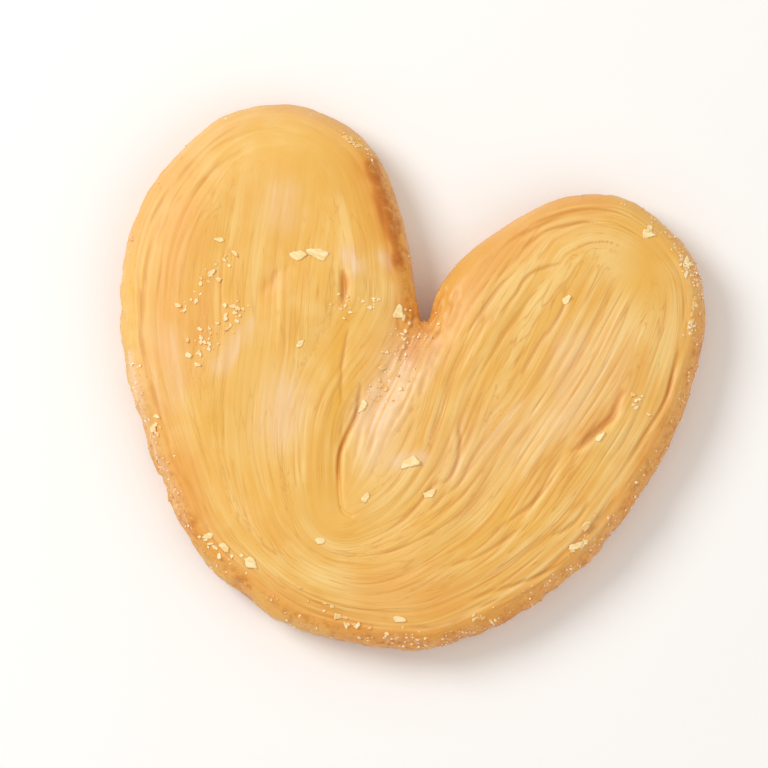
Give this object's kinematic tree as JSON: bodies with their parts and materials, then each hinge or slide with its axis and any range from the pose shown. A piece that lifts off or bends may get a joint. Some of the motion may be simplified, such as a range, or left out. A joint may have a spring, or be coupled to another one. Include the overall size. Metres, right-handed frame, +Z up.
{
  "type": "palmier pastry",
  "caption": "Heart-shaped palmier of folded puff pastry with a rounded sugared rim, layered face and open notch between its lobes; lies on its flat baked face.",
  "frame": {"origin": "on the flat baked underside, below the middle of the bounding box", "axes": "+Z up through the thickness, +Y from the fold at the bottom of the heart towards the notch, +X across the lobes"},
  "size_m": [0.0734, 0.065, 0.0096],
  "materials": {
    "baked_pastry": "matte golden baked puff pastry, browner and sugared at the rim"
  },
  "bodies": {
    "root": {"palmier": "baked_pastry"}
  },
  "joints": []
}
